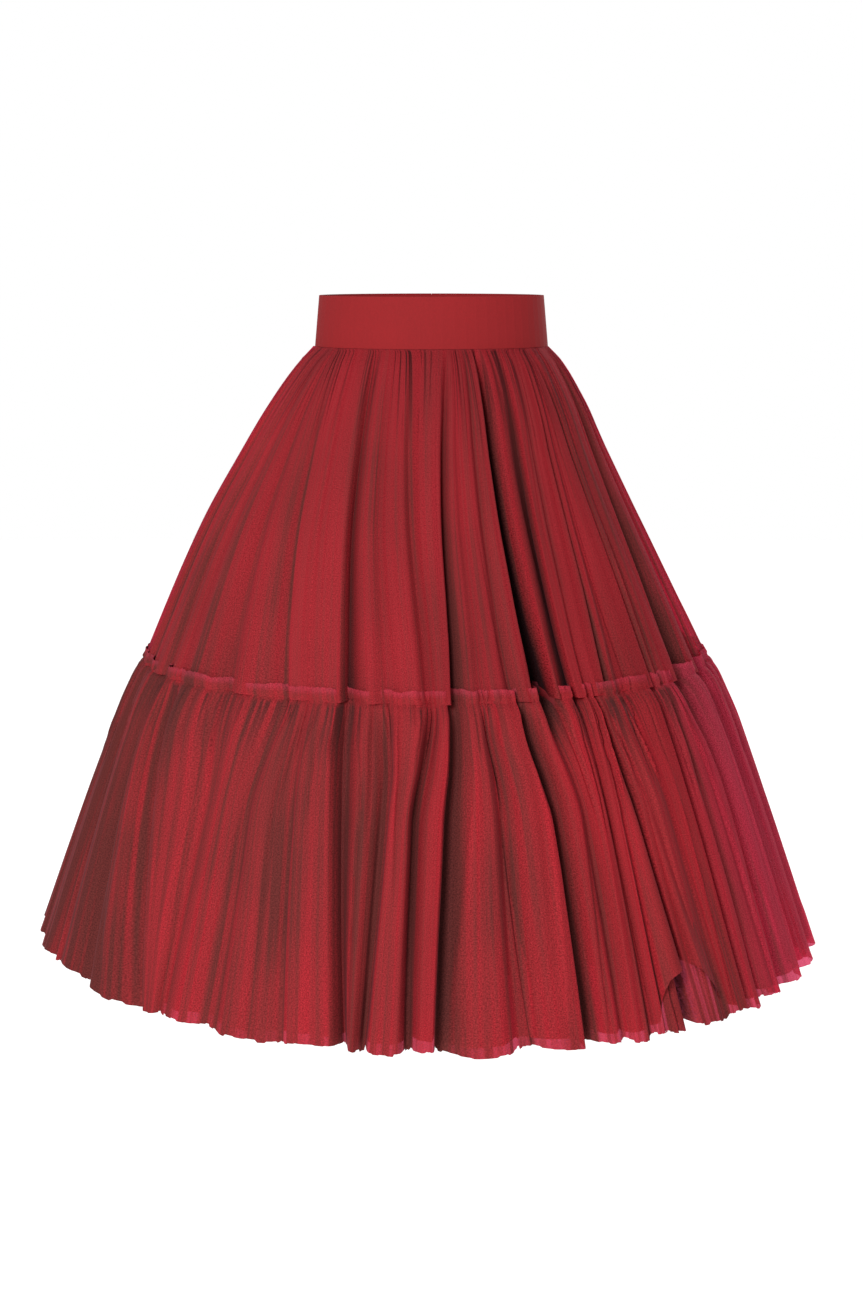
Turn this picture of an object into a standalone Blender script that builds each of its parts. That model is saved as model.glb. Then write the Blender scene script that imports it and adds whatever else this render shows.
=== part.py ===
# A two-tier tulle skirt in its worn shape, hollow and open at the waist and the hem.
# Frame: metres, +Z up, the wearer faces -Y, origin at the middle of the waistband.
# Angles go round the skirt from the front centre (0) over the wearer's left side (90).

import math

import bmesh
import bpy
from mathutils import Matrix, Vector

MM = 0.001

# Driving sizes
BAND_HEIGHT = 54.6 * MM
BAND_TOP_HALF_WIDTH = 122 * MM
BAND_TOP_HALF_DEPTH = 94 * MM
BAND_FOOT_HALF_WIDTH = 126.8 * MM
BAND_FOOT_HALF_DEPTH = 98.8 * MM
BAND_WALL = 3.0 * MM
BAND_COLUMNS = 64
TULLE_WALL = 1.4 * MM
LINING_WALL = 1.2 * MM
SEAM_GAP = 0.3 * MM

# The hem hangs lower at the front and at the wearer's left, and its folds end unevenly
FRONT_DIP = 11 * MM
LEFT_DIP = 9 * MM
HEM_STEP = 3 * MM
HEM_STEP_TURN = 2.4

# A wall's point moves out along a sharp bend at most this far past its thickness
LEAST_BEND_COSINE = 0.7
SHARP_EDGE = math.radians(50)

# One row for each level of the skirt: the drop below the origin, the half width and half
# depth of the outline there and its sway to the wearer's right, all in millimetres, then
# how far the folds have opened and how strong the small gathers are.
SECTION_COLUMNS = ("name", "drop", "half_width", "half_depth", "sway", "opened", "gather")
UPPER_SECTIONS = (
    ("waist_seam", 27.6, 126.5, 98.5, 0, 0.00, 0.3),
    ("gathers", 43, 142, 115, 1, 0.18, 1.6),
    ("hip", 86, 171, 148, 4, 0.42, 1.5),
    ("thigh", 140, 200, 181, 8, 0.62, 1.2),
    ("mid", 216, 240, 226, 11, 0.82, 1.0),
    ("heading", 355, 305.5, 311, 7, 0.98, 1.0),
    ("tier_seam", 368, 311.5, 319, 6, 1.00, 0.6),
)
RUFFLE_SECTIONS = (
    ("puff", 384, 324, 332, 5, 0.35, 2.6),
    ("flare", 434, 346, 353, 4, 0.80, 2.0),
    ("knee", 500, 371, 379, 4, 1.00, 1.4),
    ("calf", 588, 402, 412, 4, 1.05, 1.2),
    ("hem", 676, 432, 444, 4, 1.10, 1.0),
)
LINING_COLUMNS = ("name", "drop", "half_width", "half_depth", "sway", "opened", "inset")
LINING_SECTIONS = (
    ("waist_seam", 27.6, 123.8, 95.8, 0, 0.00, 0),
    ("gathers", 43, 134.5, 107.5, 1, 0.19, 0),
    ("hip", 86, 161, 138, 4, 0.42, 0),
    ("mid", 216, 227, 214, 11, 0.82, 0),
    ("tier_seam", 368, 300, 306, 6, 1.00, 2),
    ("hem", 618, 384, 392, 4, 1.00, 12),
)

# One row for each fold of the front: where its valley lies at the waist, at the tier
# seam and at the hem, in degrees, and how deep it is in each tier, in millimetres.
FOLD_COLUMNS = ("waist", "seam", "hem", "upper_depth", "ruffle_depth")
FRONT_FOLDS = (
    (-87, -87, -86, 6, 14),
    (-80, -81, -79, 8, 18),
    (-71, -75, -69, 9, 26),
    (-64, -67, -54, 10, 42),
    (-57, -54, -40, 14, 28),
    (-50, -42, -31, 13, 25),
    (-44, -33, -25, 8, 16),
    (-38, -25.5, -19.8, 8, 16),
    (-32, -19.5, -15.2, 12, 18),
    (-26, -15, -10.8, 22, 32),
    (-17, -7, -7, 10, 24),
    (-11, -1.8, -2.4, 9, 26),
    (-5, 1.5, 2, 12, 14),
    (6, 4.6, 5.2, 20, 26),
    (11, 8.4, 8.8, 8, 20),
    (17, 12.4, 12.6, 7, 22),
    (23, 17, 16.4, 15, 20),
    (36, 24.5, 22.2, 44, 42),
    (46, 32, 28, 11, 27),
    (53, 39, 34.5, 24, 27),
    (60, 47, 46, 11, 44),
    (67, 57, 55, 20, 32),
    (75, 68, 67, 22, 28),
    (82, 77, 77, 12, 24),
    (87.5, 85.5, 85, 6, 13),
)

# The hidden half mirrors the front's folds and mixes each depth with another fold's
BACK_PARTNER_STEP = 7
BACK_PARTNER_START = 4
BACK_UPPER_MIX = (0.3, 0.5)
BACK_RUFFLE_MIX = (0.5, 0.45)

# Where each tier is cut: the name of a panel and the angles of its two side seams
BAND_PANELS = (
    ("waistband_front", -90, 90),
    ("waistband_back_left", 90, 180),
    ("waistband_back_right", 180, 270),
)
PANELS_WITH_ZIP = (("front", -90, 90), ("back_left", 90, 180), ("back_right", 180, 270))
PANELS_PLAIN = (("front", -90, 90), ("back", 90, 270))

# The slider and the pull tab of the concealed zip at the centre back
SLIDER_HEIGHT = 9 * MM
SLIDER_WIDTH = 6.4 * MM
SLIDER_BODY = 2.0 * MM
SLIDER_DROP = 8.5 * MM
EAR_THICKNESS = 1.1 * MM
EAR_RADIUS = 1.9 * MM
PIN_RADIUS = 0.7 * MM
PIN_STANDOFF = 2.6 * MM
EYE_RADIUS = 1.1 * MM
EYE_RIM = 2.1 * MM
PULL_WIDTH = 3.4 * MM
PULL_LENGTH = 21 * MM
PULL_THICKNESS = 1.2 * MM
PULL_TIP_WIDTH = 5.4 * MM
PULL_TIP_ROUND = 1.4 * MM
PULL_SETBACK = 0.1 * MM
PULL_LEAN = math.radians(8)


def clear_scene():
    for thing in list(bpy.data.objects):
        bpy.data.objects.remove(thing)


def cloth_material(name, colour, roughness):
    made = bpy.data.materials.new(name)
    made.use_nodes = True
    shader = made.node_tree.nodes["Principled BSDF"]
    shader.inputs["Base Color"].default_value = (*colour, 1.0)
    shader.inputs["Roughness"].default_value = roughness
    shader.inputs["Metallic"].default_value = 0.0
    return made


def rows(columns, table):
    """A table's rows as dictionaries by column name."""
    return [dict(zip(columns, row)) for row in table]


def back_folds(front):
    """The hidden half repeats the front's folds behind it, each mixed with another fold."""
    made = []
    for place, fold in enumerate(reversed(front)):
        other = front[(place * BACK_PARTNER_STEP + BACK_PARTNER_START) % len(front)]
        mirrored = {level: 180 - fold[level] for level in ("waist", "seam", "hem")}
        for depth, (own, borrowed) in (
            ("upper_depth", BACK_UPPER_MIX),
            ("ruffle_depth", BACK_RUFFLE_MIX),
        ):
            mirrored[depth] = own * fold[depth] + borrowed * other[depth]
        made.append(mirrored)
    return made


def all_folds():
    front = rows(FOLD_COLUMNS, FRONT_FOLDS)
    return front + back_folds(front)


FOLDS = all_folds()
WAIST_DROP = UPPER_SECTIONS[0][1]
SEAM_DROP = UPPER_SECTIONS[-1][1]
HEM_DROP = RUFFLE_SECTIONS[-1][1]


def fold_angle(fold, drop):
    """The valley's angle at a drop: straight lines as seen from outside, so they fan out."""
    if drop <= SEAM_DROP:
        share = ((drop - WAIST_DROP) / (SEAM_DROP - WAIST_DROP)) ** 0.5
        return fold["waist"] + (fold["seam"] - fold["waist"]) * share
    share = (drop - SEAM_DROP) / (HEM_DROP - SEAM_DROP)
    return fold["seam"] + (fold["hem"] - fold["seam"]) * share


def fold_depth(fold, section, tier):
    """The valley's depth in metres. The ruffle takes over from the upper tier's depth."""
    if tier == "lining" and section["drop"] >= SEAM_DROP:
        return max(fold["upper_depth"], fold["ruffle_depth"]) * section["opened"] * MM
    if tier != "ruffle":
        return fold["upper_depth"] * section["opened"] * MM
    share = min(section["opened"], 1.0)
    mixed = fold["upper_depth"] * (1 - share) + fold["ruffle_depth"] * section["opened"]
    return mixed * MM


# Each fold is cut into four columns: its valley, a flank, its ridge and a flank.
# A row gives the way to the next valley, the share of this valley's depth, the share of
# the next valley's depth, and which way the small gathers push the cloth.
WAVE_COLUMNS = ("along", "own", "following", "push")
WAVE = (
    (0.00, 1.00, 0.00, -1),
    (0.24, 0.30, 0.02, 1),
    (0.50, 0.00, 0.00, -1),
    (0.76, 0.02, 0.30, 1),
)
LINING_WAVE = (
    (0.00, 1.00, 0.00, 0),
    (0.50, 0.00, 0.00, 0),
)


def ring(section, tier, wave):
    """The outer line of the cloth at one level, point by point from the first valley on."""
    drop = section["drop"]
    points = []
    for place, fold in enumerate(FOLDS):
        following = FOLDS[(place + 1) % len(FOLDS)]
        start = fold_angle(fold, drop)
        end = fold_angle(following, drop) + (360 if place == len(FOLDS) - 1 else 0)
        for step in rows(WAVE_COLUMNS, wave):
            angle = math.radians(start + (end - start) * step["along"])
            inward = (
                fold_depth(fold, section, tier) * step["own"]
                + fold_depth(following, section, tier) * step["following"]
                - section.get("gather", 0) * MM * step["push"]
                + section.get("inset", 0) * MM * math.sin(angle)
            )
            across = section["half_width"] * MM - inward
            deep = section["half_depth"] * MM - inward
            lower = 0.0
            if section["name"] == "hem":
                lower = FRONT_DIP * max(math.cos(angle), 0.0) ** 2
                lower += LEFT_DIP * math.sin(angle) + HEM_STEP * math.sin(HEM_STEP_TURN * place)
            points.append(
                Vector(
                    (
                        across * math.sin(angle) - section["sway"] * MM,
                        -deep * math.cos(angle),
                        -drop * MM - lower,
                    )
                )
            )
    return points


def moved_out(points, distance):
    """A closed level line moved outward in its own plane, or inward where negative."""
    count = len(points)
    made = []
    for i, point in enumerate(points):
        before = (point - points[i - 1]).to_2d().normalized()
        after = (points[(i + 1) % count] - point).to_2d().normalized()
        along = (before + after).normalized()
        stretch = 1.0 / max(along.dot(after), LEAST_BEND_COSINE)
        outward = Vector((along.y, -along.x, 0.0))
        made.append(point + outward * distance * stretch)
    return made


def seam_column(wave_steps, degrees):
    """The ridge column at a panel's side seam. Ridges lie half way between two valleys."""
    half = wave_steps // 2
    ridges = []
    for place, fold in enumerate(FOLDS):
        following = FOLDS[(place + 1) % len(FOLDS)]
        turn = 360 if place == len(FOLDS) - 1 else 0
        middle = (fold["waist"] + following["waist"] + turn) / 2
        ridges.append((abs((middle - degrees + 180) % 360 - 180), place))
    return min(ridges)[1] * wave_steps + half


def panel_line(line, first, last):
    """The part of a closed line between two columns, drawn back a little at both seams."""
    count = len(line)
    length = (last - first) % count
    picked = [line[(first + i) % count].copy() for i in range(length + 1)]
    for end, neighbour in ((0, 1), (-1, -2)):
        inward = (picked[neighbour] - picked[end]).normalized()
        picked[end] += inward * SEAM_GAP / 2
    return picked


def wall(name, outer, inner, material):
    """A closed wall from its outer and inner level lines, given from the top down."""
    mesh = bmesh.new()
    grids = [[[mesh.verts.new(p) for p in line] for line in side] for side in (outer, inner)]
    front, back = grids
    levels, count = len(front), len(front[0])
    for level in range(levels - 1):
        for i in range(count - 1):
            a, b = front[level][i], front[level][i + 1]
            c, d = front[level + 1][i + 1], front[level + 1][i]
            mesh.faces.new((a, d, c, b))
            a, b = back[level][i], back[level][i + 1]
            c, d = back[level + 1][i + 1], back[level + 1][i]
            mesh.faces.new((a, b, c, d))
    for i in range(count - 1):
        mesh.faces.new((front[0][i], front[0][i + 1], back[0][i + 1], back[0][i]))
        mesh.faces.new((front[-1][i], back[-1][i], back[-1][i + 1], front[-1][i + 1]))
    for level in range(levels - 1):
        mesh.faces.new(
            (front[level][0], back[level][0], back[level + 1][0], front[level + 1][0])
        )
        mesh.faces.new(
            (front[level][-1], front[level + 1][-1], back[level + 1][-1], back[level][-1])
        )
    bmesh.ops.recalc_face_normals(mesh, faces=mesh.faces)
    bmesh.ops.triangulate(mesh, faces=mesh.faces, quad_method="FIXED")
    data = bpy.data.meshes.new(name)
    mesh.to_mesh(data)
    mesh.free()
    data.shade_smooth()
    data.set_sharp_from_angle(angle=SHARP_EDGE)
    data.materials.append(material)
    made = bpy.data.objects.new(name, data)
    bpy.context.scene.collection.objects.link(made)
    return made


def cloth_panels(prefix, panels, lines, thickness, wave, material):
    """Cuts a tier's level lines into panels at its seams and gives each its thickness."""
    made = []
    for suffix, start, end in panels:
        first = seam_column(len(wave), start)
        last = seam_column(len(wave), end)
        outer = [panel_line(line, first, last) for line in lines]
        inner = [panel_line(moved_out(line, -thickness), first, last) for line in lines]
        made.append(wall(f"{prefix}_{suffix}", outer, inner, material))
    return made


def upper_lines():
    return [ring(section, "upper", WAVE) for section in rows(SECTION_COLUMNS, UPPER_SECTIONS)]


def ruffle_lines(upper):
    """The ruffle's heading lies on the upper tier's last rows, and its folds hang below."""
    heading, stitched = (moved_out(line, SEAM_GAP + TULLE_WALL) for line in upper[-2:])
    hanging = [ring(s, "ruffle", WAVE) for s in rows(SECTION_COLUMNS, RUFFLE_SECTIONS)]
    return [heading, stitched] + hanging


def lining_lines():
    sections = rows(LINING_COLUMNS, LINING_SECTIONS)
    return [ring(section, "lining", LINING_WAVE) for section in sections]


def band_line(height, across, deep, start, end):
    """A smooth stretch of the waistband's oval at one height, between two angles."""
    steps = max(4, round(BAND_COLUMNS * (end - start) / 360))
    points = []
    for i in range(steps + 1):
        angle = math.radians(start + (end - start) * i / steps)
        points.append(Vector((across * math.sin(angle), -deep * math.cos(angle), height)))
    for tip, neighbour in ((0, 1), (-1, -2)):
        inward = (points[neighbour] - points[tip]).normalized()
        points[tip] += inward * SEAM_GAP / 2
    return points


def waistband(material):
    """The shaped band in three pieces, closed at the centre back by the zip."""
    made = []
    levels = (
        (BAND_HEIGHT / 2, BAND_TOP_HALF_WIDTH, BAND_TOP_HALF_DEPTH),
        (-BAND_HEIGHT / 2, BAND_FOOT_HALF_WIDTH, BAND_FOOT_HALF_DEPTH),
    )
    for name, start, end in BAND_PANELS:
        outer = [band_line(z, a, b, start, end) for z, a, b in levels]
        inner = [
            band_line(z, a - BAND_WALL, b - BAND_WALL, start, end) for z, a, b in levels
        ]
        made.append(wall(name, outer, inner, material))
    return made


def band_back_at(height):
    """How far back the band's outer face is at a height, at the centre back."""
    share = (BAND_HEIGHT / 2 - height) / BAND_HEIGHT
    return BAND_TOP_HALF_DEPTH + (BAND_FOOT_HALF_DEPTH - BAND_TOP_HALF_DEPTH) * share


def added_box(name, size, place):
    bpy.ops.mesh.primitive_cube_add(size=1, location=place)
    made = bpy.context.object
    made.name = name
    made.data.transform(Matrix.Diagonal((*size, 1)))
    return made


def added_rod(name, radius, length, place, sides=16):
    """A round bar along X."""
    bpy.ops.mesh.primitive_cylinder_add(
        vertices=sides, radius=radius, depth=length, location=place
    )
    made = bpy.context.object
    made.name = name
    made.data.transform(Matrix.Rotation(math.pi / 2, 4, "Y"))
    return made


def joined(base, extra, operation):
    """Applies a Boolean of the extra shape to the base, and removes the extra shape."""
    cut = base.modifiers.new("join", "BOOLEAN")
    cut.operation = operation
    cut.object = extra
    bpy.context.view_layer.objects.active = base
    bpy.ops.object.modifier_apply(modifier=cut.name)
    bpy.data.objects.remove(extra)


def pin_place():
    """The middle of the slider's pin, on which the pull tab turns."""
    height = BAND_HEIGHT / 2 - SLIDER_DROP
    return Vector((0, band_back_at(-BAND_HEIGHT / 2) + SEAM_GAP + PIN_STANDOFF, height))


def zip_slider(material):
    """A small body on the back seam, with two ears and the pin that carries the tab."""
    pin = pin_place()
    top, foot = pin.z + SLIDER_HEIGHT / 2, pin.z - SLIDER_HEIGHT / 2
    face = band_back_at(foot) + SEAM_GAP
    body = added_box(
        "zip_slider",
        (SLIDER_WIDTH, SLIDER_BODY, SLIDER_HEIGHT),
        (0, face + SLIDER_BODY / 2, (top + foot) / 2),
    )
    reach = pin.y - face
    for side in (-1, 1):
        across = side * (SLIDER_WIDTH - EAR_THICKNESS) / 2
        plate = added_box(
            "ear_plate",
            (EAR_THICKNESS, reach - SLIDER_BODY / 2, 2 * EAR_RADIUS),
            (across, (face + SLIDER_BODY / 2 + pin.y) / 2, pin.z),
        )
        joined(body, plate, "UNION")
        round_end = added_rod("ear_end", EAR_RADIUS, EAR_THICKNESS, (across, pin.y, pin.z))
        joined(body, round_end, "UNION")
    inner = SLIDER_WIDTH - EAR_THICKNESS
    joined(body, added_rod("pin", PIN_RADIUS, inner, pin), "UNION")
    body.data.materials.clear()
    body.data.materials.append(material)
    return body


def zip_pull(material):
    """A tab with a round eye on the slider's pin and a wider rounded tip."""
    pin = pin_place()
    tab = added_rod("zip_pull", EYE_RIM, PULL_WIDTH, (0, 0, 0), sides=20)
    level = -EYE_RIM + PULL_THICKNESS / 2 + PULL_SETBACK
    plate = added_box(
        "plate", (PULL_WIDTH, PULL_THICKNESS, PULL_LENGTH), (0, level, -PULL_LENGTH / 2)
    )
    joined(tab, plate, "UNION")
    tip = added_box(
        "tip",
        (PULL_TIP_WIDTH, PULL_THICKNESS, PULL_TIP_WIDTH),
        (0, level, -PULL_LENGTH + PULL_TIP_WIDTH / 2),
    )
    rounded = tip.modifiers.new("round", "BEVEL")
    rounded.width = PULL_TIP_ROUND
    rounded.segments = 3
    rounded.affect = "EDGES"
    rounded.limit_method = "WEIGHT"
    weights = tip.data.attributes.new("bevel_weight_edge", "FLOAT", "EDGE")
    for edge in tip.data.edges:
        a, b = (tip.data.vertices[i].co for i in edge.vertices)
        weights.data[edge.index].value = 1.0 if abs(a.y - b.y) > PULL_THICKNESS / 2 else 0.0
    bpy.context.view_layer.objects.active = tip
    bpy.ops.object.modifier_apply(modifier=rounded.name)
    joined(tab, tip, "UNION")
    joined(tab, added_rod("eye", EYE_RADIUS, 2 * PULL_WIDTH, (0, 0, 0)), "DIFFERENCE")
    tab.location = pin
    tab.rotation_euler = (PULL_LEAN, 0, 0)
    tab.data.materials.clear()
    tab.data.materials.append(material)
    return tab


def build():
    clear_scene()
    band_cloth = cloth_material("waistband_cloth", (0.33, 0.022, 0.026), 0.75)
    tulle = cloth_material("tulle", (0.36, 0.024, 0.040), 0.8)
    lining_cloth = cloth_material("lining_cloth", (0.20, 0.010, 0.014), 0.7)
    zip_enamel = cloth_material("zip_enamel", (0.28, 0.012, 0.018), 0.35)

    skirt = bpy.data.objects.new("skirt", None)
    bpy.context.scene.collection.objects.link(skirt)
    upper = upper_lines()
    pieces = waistband(band_cloth)
    pieces += cloth_panels("upper", PANELS_WITH_ZIP, upper, TULLE_WALL, WAVE, tulle)
    pieces += cloth_panels(
        "ruffle", PANELS_PLAIN, ruffle_lines(upper), TULLE_WALL, WAVE, tulle
    )
    pieces += cloth_panels(
        "lining", PANELS_WITH_ZIP, lining_lines(), LINING_WALL, LINING_WAVE, lining_cloth
    )
    pieces.append(zip_slider(zip_enamel))
    pieces.append(zip_pull(zip_enamel))
    for piece in pieces:
        piece.parent = skirt


build()
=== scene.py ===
# %% [markdown]
# # A two-tier tulle skirt
# The skirt hangs as it is worn: a smooth band at the waist, a gathered upper tier, a
# longer ruffle that is sewn on with its own small heading, a second ruffle layer a little
# shorter than the first, and a lining that makes the middle look solid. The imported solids
# say where each of these is. This script makes the thin cloth that replaces them.

# %% Load the frame
import math

import bpy
import numpy as np
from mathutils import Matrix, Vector


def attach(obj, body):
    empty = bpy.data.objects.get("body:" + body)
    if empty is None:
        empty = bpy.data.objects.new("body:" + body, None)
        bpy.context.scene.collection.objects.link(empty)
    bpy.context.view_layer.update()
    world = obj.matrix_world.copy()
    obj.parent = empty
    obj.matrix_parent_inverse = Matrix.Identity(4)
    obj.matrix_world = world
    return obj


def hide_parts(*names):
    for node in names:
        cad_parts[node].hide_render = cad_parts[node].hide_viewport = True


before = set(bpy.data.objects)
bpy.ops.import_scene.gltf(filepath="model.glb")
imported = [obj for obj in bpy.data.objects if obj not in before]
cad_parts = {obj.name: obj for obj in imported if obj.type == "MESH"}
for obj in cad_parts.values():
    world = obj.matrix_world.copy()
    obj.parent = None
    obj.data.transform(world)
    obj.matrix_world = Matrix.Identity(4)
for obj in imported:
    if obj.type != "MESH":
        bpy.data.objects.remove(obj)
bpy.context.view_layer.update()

MM = 0.001

# %% [markdown]
# ## Camera
# The photograph looks a little down on the skirt from almost three metres away with a
# short telephoto view, so the band's far edge hides behind its near one and the hem rounds
# up at both sides. These numbers came from fitting the band, the seam and the hem.

# %% Place the camera
CAMERA_DISTANCE = 2.847
CAMERA_HEIGHT = 0.084
CAMERA_LENS_MM = 71.8
CAMERA_SENSOR_MM = 36.0
CAMERA_DOWN_DEG = 8.95

camera_data = bpy.data.cameras.new("camera")
camera_data.lens = CAMERA_LENS_MM
camera_data.sensor_width = CAMERA_SENSOR_MM
camera = bpy.data.objects.new("camera", camera_data)
camera.location = (0.0, -CAMERA_DISTANCE, CAMERA_HEIGHT)
camera.rotation_euler = (math.radians(90 - CAMERA_DOWN_DEG), 0.0, 0.0)
bpy.context.scene.collection.objects.link(camera)
bpy.context.scene.camera = camera
print("camera", tuple(round(v, 3) for v in camera.location))

# %% [markdown]
# ## The skirt's outline
# A gathered skirt is easiest to describe by its outline at a few levels: how wide and how
# deep the ring is there, how far it sways to one side, and how far its folds have opened.
# A smooth curve through those numbers gives every level between them. Lengths are in
# millimetres, and a drop is measured down from the middle of the band.

# %% Levels of the two tiers
LEVEL_COLUMNS = ("drop", "half_width", "half_depth", "sway", "opened")
UPPER_LEVELS = (
    (27.6, 126.5, 98.5, 0, 0.00),
    (43, 142, 115, 1, 0.18),
    (86, 171, 148, 4, 0.42),
    (140, 200, 181, 8, 0.62),
    (216, 240, 226, 11, 0.82),
    (355, 305.5, 311, 7, 0.98),
    (368, 311.5, 319, 6, 1.00),
)
RUFFLE_LEVELS = (
    (353, 307, 312.5, 7, 0.00),
    (368, 313.5, 321, 6, 0.00),
    (384, 324, 332, 5, 0.50),
    (404, 333.5, 341, 5, 0.88),
    (434, 346, 353, 4, 1.00),
    (500, 371, 379, 4, 1.02),
    (588, 402, 412, 4, 1.05),
    (676, 432, 444, 4, 1.10),
)
LINING_LEVELS = (
    (27.6, 123.8, 95.8, 0, 0.00),
    (43, 134.5, 107.5, 1, 0.19),
    (86, 161, 138, 4, 0.42),
    (216, 227, 214, 11, 0.82),
    (368, 300, 306, 6, 1.00),
    (618, 384, 392, 4, 1.00),
)
WAIST_DROP = 27.6
SEAM_DROP = 368.0
HEM_DROP = 676.0


def smooth_through(at, xs, ys):
    """A curve through all the points that never swings past them."""
    xs, ys = np.asarray(xs, float), np.asarray(ys, float)
    gap, rise = np.diff(xs), np.diff(ys) / np.diff(xs)
    slope = np.empty_like(xs)
    slope[0], slope[-1] = rise[0], rise[-1]
    before, after = rise[:-1], rise[1:]
    same = before * after > 0
    slope[1:-1] = np.where(same, 2 * before * after / np.where(same, before + after, 1), 0)
    i = np.clip(np.searchsorted(xs, at) - 1, 0, len(gap) - 1)
    t = np.clip((at - xs[i]) / gap[i], 0, 1)
    return (
        ys[i] * (1 + 2 * t) * (1 - t) ** 2
        + slope[i] * gap[i] * t * (1 - t) ** 2
        + ys[i + 1] * t**2 * (3 - 2 * t)
        + slope[i + 1] * gap[i] * t**2 * (t - 1)
    )


def level_values(levels, drop):
    """Every column of a level table at the given drops, by name."""
    table = np.array(levels, float)
    return {
        name: smooth_through(drop, table[:, 0], table[:, i])
        for i, name in enumerate(LEVEL_COLUMNS)
        if i
    }


at_seam = level_values(UPPER_LEVELS, np.array([SEAM_DROP]))
print("half width at the seam", float(at_seam["half_width"][0]))

# %% [markdown]
# ## The large folds
# Twenty-five folds were read from the front of the skirt: the angle of each valley at the
# waist and at the tier seam in the upper tier, and at the stitches and at the hem in the
# ruffle, and its depth in each tier. The two tiers are gathered apart, so a valley moves a
# little to the side as it crosses the seam. A fold also leans. With a positive lean the
# ridge on the valley's left hangs over it to the right and its far side rises gently, and a
# negative lean is the other way round. That overhanging edge is what makes a fold look
# crisp. The hidden back has the same folds, mirrored, with each depth mixed from two of
# them, and an even pair beside the zip keeps the centre back seam straight.

# %% Fold tables
FOLD_COLUMNS = (
    "waist", "seam", "stitches", "hem", "upper_depth", "ruffle_depth", "upper_lean", "ruffle_lean",
)
FRONT_FOLDS = (
    (-87, -87, -87, -86, 3, 8, -0.2, -0.3),
    (-80, -80, -80, -79, 4, 9, -0.2, -0.4),
    (-73, -74, -74, -68, 5, 12, -0.2, -0.5),
    (-62.5, -62.5, -66, -56, 8, 12, 0.3, -0.5),
    (-58, -56.5, -60, -41.5, 3, 19, 0.2, -0.5),
    (-54, -41.5, -39, -38.6, 7, 8, -0.3, 0.3),
    (-50, -26.8, -30.8, -30, 8, 8, -0.5, -0.3),
    (-40, -22, -23.6, -20, 3, 7, 0.2, -0.7),
    (-28.6, -15.2, -16, -11, 18, 22, 0.6, 0.5),
    (-20, -7, -6.2, -8.2, 7, 16, 0.2, -0.5),
    (-11.6, 0.8, -2.4, -2.5, 10, 20, 0.4, 0.4),
    (7.3, 4.2, 3.8, 1.1, 20, 24, 0.8, 0.5),
    (9.5, 10.5, 12, 12.4, 3, 14, 0.2, 0.5),
    (14.5, 16.8, 19.4, 20.6, 8, 34, 0.1, 0.8),
    (20.5, 23, 25.5, 27, 54, 10, 0.0, 0.4),
    (34, 30.2, 30.2, 31, 20, 8, -0.7, 0.3),
    (41, 32.2, 32.8, 33.4, 5, 5, 0.3, -0.2),
    (47.6, 34.2, 36.4, 40.6, 32, 50, 1.0, -0.7),
    (50, 40.5, 42, 45.4, 5, 3, 0.3, 0.3),
    (52.5, 48.1, 47.2, 48.8, 30, 26, 1.0, 0.8),
    (60, 52, 52.5, 53.5, 5, 8, 0.3, 0.4),
    (75, 56.2, 59, 58.8, 32, 18, 1.0, 0.7),
    (80, 70, 67.5, 69, 24, 12, 0.9, 0.6),
    (83.5, 77.5, 76, 78, 7, 14, 0.5, 0.5),
    (87.5, 85.5, 85.5, 85.5, 3, 10, 0.3, 0.4),
)
ANGLES = slice(0, 4)
UPPER_DEPTH = 4
RUFFLE_DEPTH = 5
LEANS = slice(6, 8)
BACK_MIX = {UPPER_DEPTH: (0.3, 0.5), RUFFLE_DEPTH: (0.5, 0.45)}
BACK_PARTNER = (7, 4)
BACK_SEAM_FOLD = 13
BACK_SEAM_PAIR = (
    (171, 176.8, 177, 177.4, 8, 16, 0, 0),
    (189, 183.2, 183, 182.6, 8, 16, 0, 0),
)


def all_folds():
    """One array for each column of the fold table, front and back."""
    front = np.array(FRONT_FOLDS, float)
    mirrored = front[::-1].copy()
    mirrored[:, ANGLES] = 180 - mirrored[:, ANGLES]
    step, start = BACK_PARTNER
    partner = front[(np.arange(len(front)) * step + start) % len(front)]
    for column, (own, other) in BACK_MIX.items():
        mirrored[:, column] = own * mirrored[:, column] + other * partner[:, column]
    mirrored[:, LEANS] = partner[:, LEANS]
    mirrored[BACK_SEAM_FOLD:BACK_SEAM_FOLD + 2] = BACK_SEAM_PAIR
    both = np.concatenate([front, mirrored])
    return {name: both[:, i] for i, name in enumerate(FOLD_COLUMNS)}


FOLDS = all_folds()
FOLD_COUNT = len(FOLDS["waist"])
BACK_PAIR_AT = FOLD_COUNT // 2 + BACK_SEAM_FOLD
print("folds", FOLD_COUNT, "of them the pair beside the zip from", BACK_PAIR_AT)

# %% [markdown]
# ## Small creases
# Between the large folds the cloth has many small ones: gathers that run down from the
# band and from the ruffle's stitching and die away, and long faint laps where the net
# doubles over. Each is a line pressed into the surface, sharp on one side and soft on the
# other. Their places are drawn at random from a fixed seed, so the skirt comes out the
# same each time. The skirt hangs more calmly on the wearer's right, so the small creases
# are weaker there.

# %% Crease lines
SHARP_SIDE = 0.22
CREASE_FADE = 3
CREASE_END = 9
JITTER = 0.45
DEPTH_SIGNS = (1, 1, -0.8)
SIDES = (-1, 1, 1)
CALM_FOLDS = (0, 2, 4, 11, 13, 22, 26, 38, 49)
CALM_SHARE = {
    "upper": (0.8, 0.6, 0.3, 0.36, 1.0, 1.0, 0.6, 0.8, 0.8),
    "ruffle": (0.8, 0.7, 0.5, 0.8, 1.0, 0.8, 0.6, 1.0, 0.8),
    "lining": (1.0,) * 9,
}


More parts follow.
